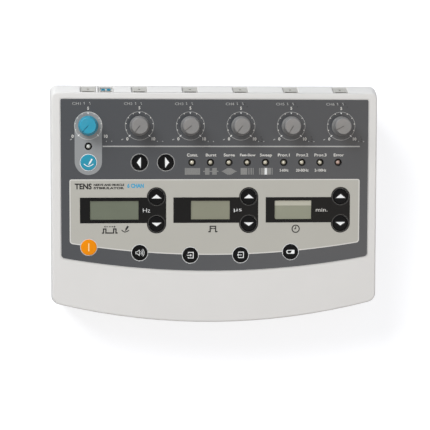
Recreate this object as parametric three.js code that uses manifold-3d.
// Desktop six-channel nerve stimulator: a wedge-shaped plastic console with a sloping control panel.
// Millimetres. +X right, +Y to the rear, +Z up, origin under the middle of the bounding box.
// Most pieces are made in the panel's own frame: x across, v up the slope, w out of the panel.
import * as THREE from "three";
import { mergeVertices } from "three/addons/utils/BufferGeometryUtils.js";
import Module from "manifold-3d";

const wasm = await Module();
wasm.setup();

const DEG = Math.PI / 180;

// ---- Driving dimensions ----
const SLOPE = 8 * DEG; // panel against the table
const FRONT_HEIGHT = 36; // table to the top of the front edge
const FACE_HALF_WIDTH = 116; // flat top face, inside its rounded edges
const FACE_REAR = 81.45;
const FACE_FRONT = -81.9;
const EDGE_R = 1.2; // round along the top face's edges
const FRONT_BOW_R = 468; // the bowed front edge
const REAR_CORNER_R = 4.2;
const FRONT_CORNER_R = 6.5;
const SIDE_DRAFT = 4.5 * DEG;
const REAR_BAND_R = 30; // convex band behind the face, where the sockets are
const REAR_BAND_LEAN = 33.9 * DEG;
const CASE_WALL = 2.4;
const TOP_CASE_DEPTH = 24; // face to parting line, along w
const PARTING_GAP = 0.2;
const FOOT_HEIGHT = 3;

const OVERLAY = { halfWidth: 111.3, rear: 78.2, front: -46.25, bowR: 616, rearCornerR: 1.4, frontCornerR: 3 };
const OVERLAY_RECESS = 0.6;
const OVERLAY_TOP = -0.1;
const OVERLAY_BOTTOM = -0.55;
const OVERLAY_CLEARANCE = 0.25; // between the film's edge and its recess

const CONTROL_PITCH = 36.4; // knobs, sockets and the lower keys share it
const CONTROL_SHIFT = -0.2; // the middle of their row, against the middle of the case
const CHANNELS = 6;
const KNOB_ROW = 58.65;
const LAMP_ROW = 32.5; // mode lamps and the keys beside them
const LAMP_FIRST_X = -17.15;
const LAMP_PITCH = 13.25;
const LAMP_COUNT = 9;
const LAMP_LAST_X = LAMP_FIRST_X + (LAMP_COUNT - 1) * LAMP_PITCH;
const LAMP_HOLE_R = 2.6;
const LAMP_R = 1.5;
const LAMP_TOP = -0.9;
const PROBE_LAMP_ROW = 44;

const KEY_R = 5.5;
const KEY_HOLE_R = 5.8;
const KEY_TOP = 0.35;
const KEY_BOTTOM = -3;

const STEM_R = 3;
const STEM_HOLE_R = 3.8;
const KNOB = { baseR: 7.1, topR: 5.9, bottom: 0.5, height: 9.5, rim: 0.6, grooveHalf: 0.4, grooveDepth: 0.5 };
// How far each pointer stands clockwise from straight down.
const POINTER_ANGLES = [42, 38, 52, 38, 31, 62];

const DISPLAYS = [
  { name: "frequency", x0: -90.5, x1: -55.3 },
  { name: "pulse_width", x0: -18.2, x1: 10.4 },
  { name: "timer", x0: 42.5, x1: 69.7 },
];
const DISPLAY_V = { low: -9.1, high: 5.4 };
const DISPLAY_MARGIN = 1.2; // glass behind the edge of its window
const DISPLAY_TOP = -0.8;
const DISPLAY_CLEARANCE = 0.4;

const SOCKET_ARC = 5.8; // along the band, from its top edge to a socket's middle
const SOCKET = { half: 5.1, length: 14, clearance: 0.2, face: -0.9 }; // face: against the band's surface
const SOCKET_MOUTH = { low: -1.1, high: 1, lowHalf: 5.3, highHalf: 7 };
const KEYWAY = { halfX: 4.2, y0: -4.9, y1: -2.9, depth: 3 };
const OUTPUT_BORE = { y: 0.7, r: 0.9, depth: 6 };
const PROBE_SOCKET_X = -78.6;
const PROBE_SLEEVES = { x: 1.9, y: 0.7, r: 1.4, boreR: 0.7 };
const PROBE_POCKET = { half: 4.4, low: -2.4, depth: 1.2 };

// Layers under the top face, in w.
const DOME_SHEET = { top: -3.6, bottom: -4.2, halfWidth: 99, low: -41, high: 40 };
const BOARD = { top: -4.5, bottom: -6.1, halfWidth: 101, low: -41, high: 66.5 };
const LAMP_STRIP = { top: -3, bottom: -4.3, end: 4, half: 3 }; // end: past the first and last lamps
const POT = { top: -6.4, bottom: -14.5, r: 8, bore: 3.2 };
const BUZZER = { x: 72, v: 20, r: 6, height: 6 };
const SOLDER = 0.4; // how far parts on a board sink into it, so that they join it

// ---- Frames worked out from the dimensions above ----
const PANEL_HEIGHT = FRONT_HEIGHT - FACE_FRONT * Math.sin(SLOPE);
const panelMatrix = new THREE.Matrix4().makeRotationX(SLOPE).setPosition(0, 0, PANEL_HEIGHT);
const panelInverse = panelMatrix.clone().invert();
const fromPanel = (x, v, w) => new THREE.Vector3(x, v, w).applyMatrix4(panelMatrix);

const channelX = (i) => (i - (CHANNELS - 1) / 2) * CONTROL_PITCH + CONTROL_SHIFT;
const channels = Array.from({ length: CHANNELS }, (_, i) => i);

const KEYS = [
  { name: "probe", x: channelX(0), v: LAMP_ROW, color: 0x2f9fc4 },
  { name: "mode_left", x: channelX(1), v: LAMP_ROW },
  { name: "mode_right", x: -36, v: LAMP_ROW },
  { name: "frequency_up", x: -42.7, v: 7.75 },
  { name: "frequency_down", x: -42.7, v: -11.55 },
  { name: "pulse_width_up", x: 23.8, v: 7.75 },
  { name: "pulse_width_down", x: 23.8, v: -11.55 },
  { name: "timer_up", x: 90.8, v: 7.75 },
  { name: "timer_down", x: 90.8, v: -11.55 },
  { name: "power", x: channelX(0), v: -28.2, color: 0xf79a1c },
  { name: "sound", x: channelX(1), v: -32.3 },
  { name: "output_a", x: channelX(2), v: -34.3 },
  { name: "output_b", x: channelX(3), v: -34.3 },
  { name: "battery_check", x: channelX(4), v: -32.3 },
];

// ---- Solids ----
// A closed three.js geometry as a manifold-3d solid.
function solid(geometry) {
  const bare = geometry.clone();
  bare.deleteAttribute("normal");
  bare.deleteAttribute("uv");
  const merged = mergeVertices(bare, 1e-4);
  return new wasm.Manifold(
    new wasm.Mesh({
      numProp: 3,
      vertProperties: merged.attributes.position.array,
      triVerts: new Uint32Array(merged.index.array),
    }),
  );
}

// Joins the first list of geometries and cuts the second from them.
function combine(joined, cuts = []) {
  let made = solid(joined[0]);
  for (const geometry of joined.slice(1)) made = made.add(solid(geometry));
  for (const geometry of cuts) made = made.subtract(solid(geometry));
  const mesh = made.getMesh();
  const geometry = new THREE.BufferGeometry();
  geometry.setAttribute("position", new THREE.BufferAttribute(mesh.vertProperties, 3));
  geometry.setIndex(new THREE.BufferAttribute(mesh.triVerts, 1));
  const flat = geometry.toNonIndexed();
  flat.computeVertexNormals();
  return flat;
}

// A box from its lowest to its highest corner.
function block(x0, y0, z0, x1, y1, z1) {
  return new THREE.BoxGeometry(x1 - x0, y1 - y0, z1 - z0).translate(
    (x0 + x1) / 2,
    (y0 + y1) / 2,
    (z0 + z1) / 2,
  );
}

// An upright cylinder or cone from z0 to z1.
function rod(x, y, r, z0, z1, segments = 24, topR = r) {
  return new THREE.CylinderGeometry(topR, r, z1 - z0, segments)
    .rotateX(Math.PI / 2)
    .translate(x, y, (z0 + z1) / 2);
}

// A solid of revolution about an upright axis, from [radius, z] pairs that start and end on the axis.
function turned(profile, segments = 20) {
  const points = profile.map(([r, z]) => new THREE.Vector2(r, z));
  return combine([new THREE.LatheGeometry(points, segments).rotateX(Math.PI / 2)]);
}

// A solid through closed loops of equal length, in order from the top down, each anticlockwise from above.
function loft(loops) {
  const count = loops[0].length;
  const positions = loops.flat().flatMap((p) => [p.x, p.y, p.z]);
  const index = [];
  for (let level = 0; level < loops.length - 1; level++) {
    for (let i = 0; i < count; i++) {
      const a = level * count + i;
      const b = level * count + ((i + 1) % count);
      index.push(a, a + count, b, b, a + count, b + count);
    }
  }
  const cap = (loop) => THREE.ShapeUtils.triangulateShape(loop.map((p) => new THREE.Vector2(p.x, p.y)), []);
  for (const [a, b, c] of cap(loops[0])) index.push(a, b, c);
  const last = (loops.length - 1) * count;
  for (const [a, b, c] of cap(loops.at(-1))) index.push(last + a, last + c, last + b);
  const geometry = new THREE.BufferGeometry();
  geometry.setAttribute("position", new THREE.Float32BufferAttribute(positions, 3));
  geometry.setIndex(index);
  return geometry;
}

// The case's plan outline: straight sides and back, bowed front, four rounded corners, anticlockwise.
function planOutline({ halfWidth, rear, front, bowR, rearCornerR, frontCornerR }) {
  const FRONT_STEPS = 16;
  const CORNER_STEPS = 5;
  const bowCentre = front + bowR;
  const cornerX = halfWidth - frontCornerR;
  const cornerV = bowCentre - Math.sqrt((bowR - frontCornerR) ** 2 - cornerX ** 2);
  const bowEnd = Math.atan2(cornerX, bowCentre - cornerV); // from straight ahead to where the corner starts
  const points = [];
  for (let i = 0; i <= FRONT_STEPS; i++) {
    const a = bowEnd * ((2 * i) / FRONT_STEPS - 1);
    points.push([bowR * Math.sin(a), bowCentre - bowR * Math.cos(a)]);
  }
  const corner = (x, v, r, from, to) => {
    for (let i = 1; i <= CORNER_STEPS; i++) {
      const a = from + ((to - from) * i) / CORNER_STEPS;
      points.push([x + r * Math.cos(a), v + r * Math.sin(a)]);
    }
  };
  const start = bowEnd - Math.PI / 2;
  corner(cornerX, cornerV, frontCornerR, start, 0);
  const rearX = halfWidth - rearCornerR;
  const rearV = rear - rearCornerR;
  points.push([halfWidth, rearV]);
  corner(rearX, rearV, rearCornerR, 0, Math.PI / 2);
  points.push([-rearX, rear]);
  corner(-rearX, rearV, rearCornerR, Math.PI / 2, Math.PI);
  points.push([-halfWidth, cornerV]);
  corner(-cornerX, cornerV, frontCornerR, Math.PI, 2 * Math.PI - start - Math.PI);
  points.pop(); // the last corner ends where the bow starts
  return points;
}

// How far a rounded edge has come out, and the flank after it, at a depth below the face.
function edgeOut(depth, flankSlope) {
  if (depth >= EDGE_R) return EDGE_R + (depth - EDGE_R) * flankSlope;
  return Math.sqrt(EDGE_R ** 2 - (EDGE_R - depth) ** 2);
}

// The rear band: the rounded edge, then an arc that leans less and less, then straight down.
const BAND_START = {
  depth: EDGE_R * (1 - Math.sin(REAR_BAND_LEAN)),
  v: FACE_REAR + EDGE_R * Math.cos(REAR_BAND_LEAN),
};
const bandPoint = (lean) => ({
  v: BAND_START.v + REAR_BAND_R * (Math.cos(lean) - Math.cos(REAR_BAND_LEAN)),
  depth: BAND_START.depth + REAR_BAND_R * (Math.sin(REAR_BAND_LEAN) - Math.sin(lean)),
});
function rearAt(depth) {
  if (depth <= BAND_START.depth) return FACE_REAR + edgeOut(depth, 0);
  const sine = Math.sin(REAR_BAND_LEAN) - (depth - BAND_START.depth) / REAR_BAND_R;
  return bandPoint(Math.asin(Math.max(0, sine))).v;
}

// The top case's outline at a depth below the face, in the panel's frame, moved in by a wall.
function caseLoop(depth, inset = 0) {
  const outline = planOutline({
    halfWidth: FACE_HALF_WIDTH + edgeOut(depth, Math.tan(SIDE_DRAFT)) - inset,
    rear: rearAt(depth) - inset,
    front: FACE_FRONT - edgeOut(depth, Math.tan(SLOPE)) + inset,
    bowR: FRONT_BOW_R,
    rearCornerR: REAR_CORNER_R - inset,
    frontCornerR: FRONT_CORNER_R - inset,
  });
  return outline.map(([x, v]) => new THREE.Vector3(x, v, -depth));
}

function extrudeOutline(outline, z0, z1) {
  const shape = new THREE.Shape(outline.map(([x, y]) => new THREE.Vector2(x, y)));
  return new THREE.ExtrudeGeometry(shape, { depth: z1 - z0, bevelEnabled: false }).translate(0, 0, z0);
}

// ---- Materials ----
const finish = (color, roughness, metalness = 0) =>
  new THREE.MeshStandardMaterial({ color, roughness, metalness });
const CASE = finish(0xd9d6d0, 0.5);
const DARK_FILM = finish(0x56575a, 0.45);
const BLACK_KEY = finish(0x1a1a1b, 0.35);
const GREY_KNOB = finish(0x8d8c8a, 0.55);
const BLUE = finish(0x2f9fc4, 0.45);
const BOARD_GREEN = finish(0x2c6b45, 0.5);
const RUBBER = finish(0x26262a, 0.9);
const STEEL = finish(0xa8abb0, 0.3, 1);
const GLASS = finish(0x9aa08c, 0.15);
const SOCKET_GREY = finish(0x9a9993, 0.5);
const LAMP = finish(0xd8cfa8, 0.3);
const CELL = finish(0x3a4a6a, 0.4, 0.3);

const root = new THREE.Group();
const panel = new THREE.Group();
panel.applyMatrix4(panelMatrix);
root.add(panel);

function place(parent, name, geometry, material) {
  const mesh = new THREE.Mesh(geometry, material);
  mesh.name = name;
  parent.add(mesh);
  return mesh;
}

// ---- Sockets: each stands square to the rear band ----
const SOCKET_LEAN = REAR_BAND_LEAN - SOCKET_ARC / REAR_BAND_R;
const socketMiddle = bandPoint(SOCKET_LEAN);
const socketMatrix = (x) =>
  new THREE.Matrix4()
    .makeRotationX(SOCKET_LEAN - Math.PI / 2)
    .setPosition(x, socketMiddle.v, -socketMiddle.depth);
const SOCKETS = [
  ...channels.map((i) => ({
    name: `output_socket_ch${i + 1}`,
    x: channelX(i),
    geometry: outputSocket,
    material: SOCKET_GREY,
  })),
  { name: "probe_socket", x: PROBE_SOCKET_X, geometry: probeSocket, material: BLUE },
];

// The bevelled mouth and the square way through that a socket needs in the case.
function socketCuts(x) {
  const { low, high, lowHalf, highHalf } = SOCKET_MOUTH;
  const bevel = rod(0, 0, lowHalf * Math.SQRT2, low, high, 4, highHalf * Math.SQRT2).rotateZ(Math.PI / 4);
  const half = SOCKET.half + SOCKET.clearance;
  const through = block(-half, -half, -8, half, half, 0);
  return [bevel, through].map((g) => g.applyMatrix4(socketMatrix(x)));
}

const socketBlock = () =>
  block(-SOCKET.half, -SOCKET.half, SOCKET.face - SOCKET.length, SOCKET.half, SOCKET.half, SOCKET.face);
const keyway = () => block(-KEYWAY.halfX, KEYWAY.y0, SOCKET.face - KEYWAY.depth, KEYWAY.halfX, KEYWAY.y1, 1);

function outputSocket() {
  const bore = rod(0, OUTPUT_BORE.y, OUTPUT_BORE.r, SOCKET.face - OUTPUT_BORE.depth, 1, 12);
  return combine([socketBlock()], [keyway(), bore]);
}

// Two round sleeves in a shallow pocket.
function probeSocket() {
  const { x, y, r, boreR } = PROBE_SLEEVES;
  const { half, low, depth } = PROBE_POCKET;
  const floor = SOCKET.face - depth;
  const pocket = block(-half, low, floor, half, half, 1);
  const sleeves = [-x, x].map((sx) => rod(sx, y, r, floor - 1, SOCKET.face, 16));
  const bores = [-x, x].map((sx) => rod(sx, y, boreR, floor - OUTPUT_BORE.depth, 1, 8));
  return combine([combine([socketBlock()], [keyway(), pocket]), ...sleeves], bores);
}

// ---- Screws and the bosses that they join ----
const SCREW_PLACES = [
  { name: "front_left", x: -104, y: -57, meet: 20 },
  { name: "front_right", x: 104, y: -57, meet: 20 },
  { name: "rear_left", x: -107, y: 72, meet: 30 },
  { name: "rear_right", x: 107, y: 72, meet: 30 },
];
const SCREW = {
  headR: 3,
  headHeight: 2.2,
  shankR: 1.4,
  shankLength: 16,
  bite: 8, // how much of the shank is in the top case's boss
  pilotR: 1.6,
  passR: 1.8,
  seatR: 3.5,
  topBossR: 4.2,
  bottomBossR: 5.2,
};
const screwSeat = ({ meet }) => meet - (SCREW.shankLength - SCREW.bite);

function screwGeometry(screw) {
  const seat = screwSeat(screw);
  const slotHalf = 0.45;
  return combine(
    [
      rod(0, 0, SCREW.shankR, seat - 0.5, screw.meet + SCREW.bite, 12),
      rod(0, 0, SCREW.headR, seat - SCREW.headHeight, seat, 16),
    ],
    [
      block(-2, -slotHalf, seat - 4, 2, slotHalf, seat - 1.2),
      block(-slotHalf, -2, seat - 4, slotHalf, 2, seat - 1.2),
    ],
  );
}

// ---- Top case ----
const displayBlock = ({ x0, x1 }, margin, w0, w1) =>
  block(x0 - margin, DISPLAY_V.low - margin, w0, x1 + margin, DISPLAY_V.high + margin, w1);

const lamps = [
  ...Array.from({ length: LAMP_COUNT }, (_, i) => ({ x: LAMP_FIRST_X + i * LAMP_PITCH, v: LAMP_ROW })),
  { x: channelX(0), v: PROBE_LAMP_ROW },
];

// Round holes for the keys, lamps and knob stems, through whatever lies from w0 to w1.
// Holes that nobody sees are a little wider and have half the sides.
function controlHoles(w0, w1, seen) {
  const extra = seen ? 0 : 0.3;
  const sides = (count) => (seen ? count : count / 2);
  return [
    ...KEYS.map((k) => rod(k.x, k.v, KEY_HOLE_R + extra, w0, w1, sides(24))),
    ...lamps.map((l) => rod(l.x, l.v, LAMP_HOLE_R + extra, w0, w1, sides(16))),
    ...channels.map((i) => rod(channelX(i), KNOB_ROW, STEM_HOLE_R, w0, w1, 8)),
  ];
}

function topCase() {
  const roundDepths = [0, 22.5, 45, 67.5, 90].map((a) => EDGE_R * (1 - Math.cos(a * DEG)));
  const bandDepths = [3, 6, 9, 12, 15, 19];
  const outer = loft([...roundDepths, ...bandDepths, TOP_CASE_DEPTH].map((d) => caseLoop(d)));
  const inner = loft([CASE_WALL, 8, 14, TOP_CASE_DEPTH + 1].map((d) => caseLoop(d, CASE_WALL)));
  const plateMiddle = (y) => PANEL_HEIGHT + y * Math.tan(SLOPE) - CASE_WALL / 2;
  const bosses = SCREW_PLACES.map((s) => rod(s.x, s.y, SCREW.topBossR, s.meet, plateMiddle(s.y), 16));
  const pilots = SCREW_PLACES.map((s) =>
    rod(s.x, s.y, SCREW.pilotR, s.meet - 1, s.meet + SCREW.bite + 2, 12),
  );
  const recess = extrudeOutline(planOutline(OVERLAY), -OVERLAY_RECESS, 1);
  const hollow = combine([outer], [inner]);
  return combine(
    [hollow, ...bosses.map((g) => g.applyMatrix4(panelInverse))],
    [
      ...pilots.map((g) => g.applyMatrix4(panelInverse)),
      recess,
      ...controlHoles(-CASE_WALL - 1, 1, false),
      ...DISPLAYS.map((d) => displayBlock(d, DISPLAY_MARGIN + DISPLAY_CLEARANCE, -CASE_WALL - 1, 1)),
      ...SOCKETS.flatMap((s) => socketCuts(s.x)),
    ],
  );
}

// ---- Bottom case: from the sloping parting line down to a flat base ----
const SPLIT_REAR = fromPanel(0, rearAt(TOP_CASE_DEPTH), -TOP_CASE_DEPTH).y;
const SPLIT_FRONT = fromPanel(0, FACE_FRONT - edgeOut(TOP_CASE_DEPTH, Math.tan(SLOPE)), -TOP_CASE_DEPTH).y;
const SPLIT_HALF_WIDTH = FACE_HALF_WIDTH + edgeOut(TOP_CASE_DEPTH, Math.tan(SIDE_DRAFT));
const FLOOR_TOP = FOOT_HEIGHT + CASE_WALL;

function baseLoop(z, taper, inset = 0) {
  const outline = planOutline({
    halfWidth: SPLIT_HALF_WIDTH - taper - inset,
    rear: SPLIT_REAR - taper - inset,
    front: SPLIT_FRONT + taper + inset,
    bowR: FRONT_BOW_R,
    rearCornerR: REAR_CORNER_R - inset,
    frontCornerR: FRONT_CORNER_R - inset,
  });
  return outline.map(([x, y]) => new THREE.Vector3(x, y, z));
}
const splitLoop = (depth, inset) => caseLoop(depth, inset).map((p) => p.applyMatrix4(panelMatrix));

const BAY = { x: 54, y0: 15, y1: 71, top: 33, wall: 2 }; // inside of the battery bay
// The door slides out to the rear. Its upper half is wider and runs in grooves in the case.
const DOOR = { x: 54, y0: 14, y1: SPLIT_REAR - 4.4, railX: 55.6, lower: 1.1, thickness: 2.1, clearance: 0.3 };
const JACK = { x: 92, z: 18, noseR: 4, holeR: 4.3, setback: 6.8 };
const MAIN_BOARD = { x: 96, y0: -66, y1: 8, bottom: 10, thickness: 1.6 };
const STANDOFF = { x: 88, inset: 5, r: 3 };
const TONGUE = { outside: CASE_WALL + 0.3, inside: 4 }; // from the case's outside to the tongue's two faces

function bottomCase() {
  const splitDepth = TOP_CASE_DEPTH + PARTING_GAP;
  const outer = loft([
    splitLoop(splitDepth, 0),
    baseLoop(FOOT_HEIGHT + 2, 2),
    baseLoop(FOOT_HEIGHT + 0.6, 2.6),
    baseLoop(FOOT_HEIGHT, 4),
  ]);
  const inner = loft([
    splitLoop(splitDepth - 2, CASE_WALL),
    baseLoop(FLOOR_TOP + 1, 2.2, CASE_WALL),
    baseLoop(FLOOR_TOP, 3, CASE_WALL),
  ]);
  // A tongue inside the parting line locates the top case.
  const band = (inset, past) =>
    loft([splitLoop(TOP_CASE_DEPTH - 2 - past, inset), splitLoop(splitDepth + 3 + past, inset)]);
  const tongue = combine([band(TONGUE.outside, 0)], [band(TONGUE.inside, 1)]);
  const bay = block(
    -BAY.x - BAY.wall,
    BAY.y0 - BAY.wall,
    FOOT_HEIGHT + 1,
    BAY.x + BAY.wall,
    BAY.y1 + BAY.wall,
    BAY.top + BAY.wall,
  );
  const bayRoom = block(-BAY.x + 1, BAY.y0, FOOT_HEIGHT + 1, BAY.x - 1, BAY.y1, BAY.top);
  const doorTop = FOOT_HEIGHT + DOOR.thickness + 2 * DOOR.clearance;
  const doorHousing = block(-60, DOOR.y0 - 3, FOOT_HEIGHT + 1, 60, SPLIT_REAR - 3.4, doorTop + 2);
  const doorWay = block(
    -DOOR.x,
    DOOR.y0,
    FOOT_HEIGHT - 1,
    DOOR.x,
    SPLIT_REAR + 1,
    FOOT_HEIGHT + DOOR.lower + DOOR.clearance,
  );
  const doorRails = block(
    -DOOR.railX,
    DOOR.y0,
    FOOT_HEIGHT + DOOR.lower - DOOR.clearance,
    DOOR.railX,
    SPLIT_REAR + 1,
    doorTop,
  );
  const inFloor = FOOT_HEIGHT + 1; // where what stands on the floor starts, inside it
  const bosses = SCREW_PLACES.map((s) => rod(s.x, s.y, SCREW.bottomBossR, inFloor, s.meet - PARTING_GAP, 16));
  const standoffRows = [MAIN_BOARD.y0 + STANDOFF.inset, MAIN_BOARD.y1 - STANDOFF.inset];
  const standoffs = [-STANDOFF.x, STANDOFF.x].flatMap((x) =>
    standoffRows.map((y) => rod(x, y, STANDOFF.r, inFloor, MAIN_BOARD.bottom - 0.1, 12)),
  );
  const jackHole = rod(0, 0, JACK.holeR, -12, 12, 20)
    .rotateX(Math.PI / 2)
    .translate(JACK.x, SPLIT_REAR, JACK.z);
  return combine(
    [combine([outer], [inner]), tongue, bay, doorHousing, ...bosses, ...standoffs],
    [
      bayRoom,
      doorWay,
      doorRails,
      jackHole,
      ...SCREW_PLACES.map((s) => rod(s.x, s.y, SCREW.passR, FOOT_HEIGHT - 1, s.meet + 1, 12)),
      ...SCREW_PLACES.map((s) => rod(s.x, s.y, SCREW.seatR, FOOT_HEIGHT - 1, screwSeat(s) + 0.1, 20)),
    ],
  );
}

function batteryDoor() {
  const c = DOOR.clearance;
  const middle = FOOT_HEIGHT + DOOR.lower;
  const lower = block(-DOOR.x + c, DOOR.y0 + c, FOOT_HEIGHT + 0.1, DOOR.x - c, DOOR.y1, middle + 0.2);
  const upper = block(-DOOR.railX + c, DOOR.y0 + c, middle, DOOR.railX - c, DOOR.y1, middle + DOOR.lower);
  const grips = [0, 1, 2, 3, 4].map((i) => {
    const y = DOOR.y1 - 8 - i * 2;
    return block(-9, y, FOOT_HEIGHT - 1, 9, y + 1, FOOT_HEIGHT + 0.6);
  });
  return combine([lower, upper], grips);
}

// ---- Panel pieces ----
function overlay() {
  const trimmed = {
    ...OVERLAY,
    halfWidth: OVERLAY.halfWidth - OVERLAY_CLEARANCE,
    rear: OVERLAY.rear - OVERLAY_CLEARANCE,
    front: OVERLAY.front + OVERLAY_CLEARANCE,
  };
  const windows = DISPLAYS.map((d) => displayBlock(d, 0, -1, 1));
  return combine(
    [extrudeOutline(planOutline(trimmed), OVERLAY_BOTTOM, OVERLAY_TOP)],
    [...controlHoles(-1, 1, true), ...windows],
  );
}

// A key cap: a disc with a softened rim and a slightly raised middle.
const keyCap = () =>
  turned(
    [
      [0, KEY_BOTTOM],
      [KEY_R, KEY_BOTTOM],
      [KEY_R, KEY_TOP - 0.35],
      [KEY_R - 0.3, KEY_TOP - 0.1],
      [0, KEY_TOP],
    ],
    20,
  );

// A tapered knob on its stem, with a pointer groove towards -v before it is turned.
function knob() {
  const top = KNOB.bottom + KNOB.height;
  const body = turned(
    [
      [0, KNOB.bottom],
      [KNOB.baseR - 0.2, KNOB.bottom],
      [KNOB.baseR, KNOB.bottom + 0.3],
      [KNOB.topR, top - KNOB.rim],
      [KNOB.topR - KNOB.rim, top],
      [0, top],
    ],
    24,
  );
  const stem = rod(0, 0, STEM_R, POT.bottom + 2, KNOB.bottom + 2, 12);
  const half = KNOB.grooveHalf;
  const groove = block(-half, -KNOB.topR - 1, top - KNOB.grooveDepth, half, half, top + 1);
  return combine([body, stem], [groove]);
}

function potentiometer(x) {
  const terminals = block(x - 5, KNOB_ROW - 10.5, POT.top - 3, x + 5, KNOB_ROW - 6, POT.top);
  return combine(
    [rod(x, KNOB_ROW, POT.r, POT.bottom, POT.top, 16), terminals],
    [rod(x, KNOB_ROW, POT.bore, POT.bottom - 1, POT.top + 1, 12)],
  );
}

function domeSheet() {
  const end = LAMP_STRIP.end + 1;
  const half = LAMP_STRIP.half + 1.5;
  const slot = block(LAMP_FIRST_X - end, LAMP_ROW - half, -6, LAMP_LAST_X + end, LAMP_ROW + half, 0);
  const { halfWidth, low, high, bottom, top } = DOME_SHEET;
  return combine(
    [block(-halfWidth, low, bottom, halfWidth, high, top)],
    [slot, ...DISPLAYS.map((d) => displayBlock(d, DISPLAY_MARGIN + 1, -6, 0))],
  );
}

function controlBoard() {
  const CHIP_HEIGHT = 1.6;
  const holes = channels.map((i) => rod(channelX(i), KNOB_ROW, STEM_HOLE_R, -8, 0, 8));
  const chips = [
    { x: -60, v: 20, halfX: 7, halfV: 7 },
    { x: 10, v: 20, halfX: 9, halfV: 5 },
    { x: 50, v: -22, halfX: 6, halfV: 6 },
  ].map(({ x, v, halfX, halfV }) =>
    block(x - halfX, v - halfV, BOARD.bottom - CHIP_HEIGHT, x + halfX, v + halfV, BOARD.bottom + SOLDER),
  );
  const { halfWidth, low, high, bottom, top } = BOARD;
  return combine([block(-halfWidth, low, bottom, halfWidth, high, top), ...chips], holes);
}

// Nine lamps held in one spacer strip.
const lampLens = ({ x, v }) => rod(x, v, LAMP_R, LAMP_STRIP.top - 0.5, LAMP_TOP, 12, LAMP_R * 0.8);

function modeLampStrip() {
  const { end, half, bottom, top } = LAMP_STRIP;
  const strip = block(LAMP_FIRST_X - end, LAMP_ROW - half, bottom, LAMP_LAST_X + end, LAMP_ROW + half, top);
  return combine([strip, ...lamps.slice(0, LAMP_COUNT).map(lampLens)]);
}

function probeLamp() {
  const lamp = lamps[LAMP_COUNT];
  const base = rod(lamp.x, lamp.v, LAMP_R + 0.4, LAMP_STRIP.bottom, LAMP_STRIP.top, 12);
  return combine([base, lampLens(lamp)]);
}

// ---- Pieces inside the bottom case ----
// The main board carries an output transformer for each channel.
function mainBoard() {
  const TRANSFORMER = { pitch: 31, halfX: 7, y0: -24, y1: -12, height: 9 };
  const CAPACITOR = { y: -50, r: 5, height: 11 };
  const { x, y0, y1, bottom, thickness } = MAIN_BOARD;
  const top = bottom + thickness;
  const seat = top - SOLDER;
  const transformers = channels.map((i) => {
    const middleX = (i - (CHANNELS - 1) / 2) * TRANSFORMER.pitch;
    const { halfX, height } = TRANSFORMER;
    return block(middleX - halfX, TRANSFORMER.y0, seat, middleX + halfX, TRANSFORMER.y1, top + height);
  });
  const capacitors = [-70, -50, 60].map((cx) =>
    rod(cx, CAPACITOR.y, CAPACITOR.r, seat, top + CAPACITOR.height, 12),
  );
  const chips = [block(-20, -56, seat, 4, -44, top + 2), block(20, -54, seat, 34, -44, top + 2)];
  return combine([block(-x, y0, bottom, x, y1, top), ...transformers, ...capacitors, ...chips]);
}

function cell() {
  return turned(
    [
      [0, -24.6],
      [12.6, -24.6],
      [13, -24.1],
      [13, 23],
      [12.6, 23.5],
      [3.2, 23.5],
      [3.2, 25],
      [0, 25],
    ],
    16,
  );
}

function powerJack() {
  const nose = rod(0, 0, JACK.noseR, 0, 5.5, 20);
  const body = block(-5, -5.5, -10, 5, 5.5, 2);
  const bore = rod(0, 0, 2.8, -5, 6, 16);
  const pin = rod(0, 0, 1, -6, 4, 8);
  const hollow = combine([nose, body], [bore]);
  return combine([hollow, pin]).rotateX(-Math.PI / 2);
}

const rubberFoot = () =>
  turned(
    [
      [0, 0],
      [5.4, 0],
      [6, 0.5],
      [6.5, FOOT_HEIGHT - 0.1],
      [0, FOOT_HEIGHT - 0.1],
    ],
    20,
  );

// ---- Assembly ----
place(panel, "top_case", topCase(), CASE);
place(panel, "panel_overlay", overlay(), DARK_FILM);
place(panel, "dome_sheet", domeSheet(), finish(0xe6e6e2, 0.6));
place(panel, "control_board", controlBoard(), BOARD_GREEN);
place(panel, "mode_lamp_strip", modeLampStrip(), LAMP);
place(panel, "probe_lamp", probeLamp(), LAMP);
const buzzerTop = BOARD.bottom - 0.2;
place(panel, "buzzer", rod(BUZZER.x, BUZZER.v, BUZZER.r, buzzerTop - BUZZER.height, buzzerTop, 20), RUBBER);

for (const key of KEYS) {
  const material = key.color ? finish(key.color, 0.4) : BLACK_KEY;
  place(panel, `key_${key.name}`, keyCap(), material).position.set(key.x, key.v, 0);
}

for (const i of channels) {
  const turnedKnob = place(panel, `knob_ch${i + 1}`, knob(), i === 0 ? BLUE : GREY_KNOB);
  turnedKnob.position.set(channelX(i), KNOB_ROW, 0);
  turnedKnob.rotation.z = -POINTER_ANGLES[i] * DEG;
  place(panel, `potentiometer_ch${i + 1}`, potentiometer(channelX(i)), RUBBER);
}

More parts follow.
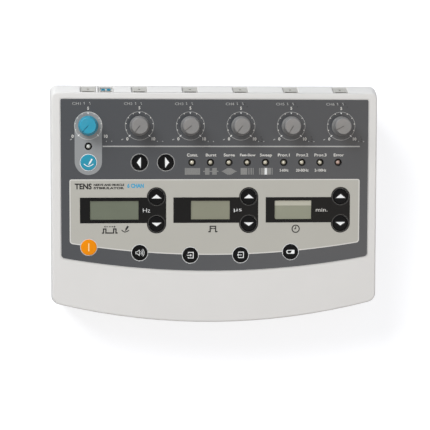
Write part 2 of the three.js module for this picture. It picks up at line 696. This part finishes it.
for (const display of DISPLAYS) {
  place(panel, `lcd_${display.name}`, displayBlock(display, DISPLAY_MARGIN, -4.3, DISPLAY_TOP), GLASS);
}

for (const socket of SOCKETS) {
  place(panel, socket.name, socket.geometry(), socket.material).applyMatrix4(socketMatrix(socket.x));
}
const OUTPUT_BOARD = { halfWidth: 100, half: 6, top: SOCKET.face - SOCKET.length - 0.3, thickness: 1.6 };
const outputBoard = block(
  -OUTPUT_BOARD.halfWidth,
  -OUTPUT_BOARD.half,
  OUTPUT_BOARD.top - OUTPUT_BOARD.thickness,
  OUTPUT_BOARD.halfWidth,
  OUTPUT_BOARD.half,
  OUTPUT_BOARD.top,
);
place(panel, "output_board", outputBoard, BOARD_GREEN).applyMatrix4(socketMatrix(0));

place(root, "bottom_case", bottomCase(), CASE);
place(root, "battery_door", batteryDoor(), CASE);
place(root, "main_board", mainBoard(), BOARD_GREEN);
place(root, "power_jack", powerJack(), RUBBER).position.set(JACK.x, SPLIT_REAR - JACK.setback, JACK.z);

const CELL_PLACES = [-1, 1].flatMap((sx) => [29, 57].map((y) => ({ x: sx * 26, y })));
CELL_PLACES.forEach(({ x, y }, i) => {
  const battery = place(root, `battery_cell_${i + 1}`, cell(), CELL);
  battery.position.set(x, y, 19.2);
  battery.rotation.y = (i % 2 ? -1 : 1) * (Math.PI / 2);
});

const FOOT_PLACES = [
  { name: "front_left", x: -92, y: -60 },
  { name: "front_right", x: 92, y: -60 },
  { name: "rear_left", x: -92, y: 76 },
  { name: "rear_right", x: 92, y: 76 },
];
for (const { name, x, y } of FOOT_PLACES) {
  place(root, `rubber_foot_${name}`, rubberFoot(), RUBBER).position.set(x, y, 0);
}
for (const screw of SCREW_PLACES) {
  place(root, `case_screw_${screw.name}`, screwGeometry(screw), STEEL).position.set(screw.x, screw.y, 0);
}

// The origin goes under the middle of the bounding box.
root.updateMatrixWorld(true);
const bounds = new THREE.Box3().setFromObject(root, true);
const middle = bounds.getCenter(new THREE.Vector3());
root.position.set(-middle.x, -middle.y, -bounds.min.z);

export default root;
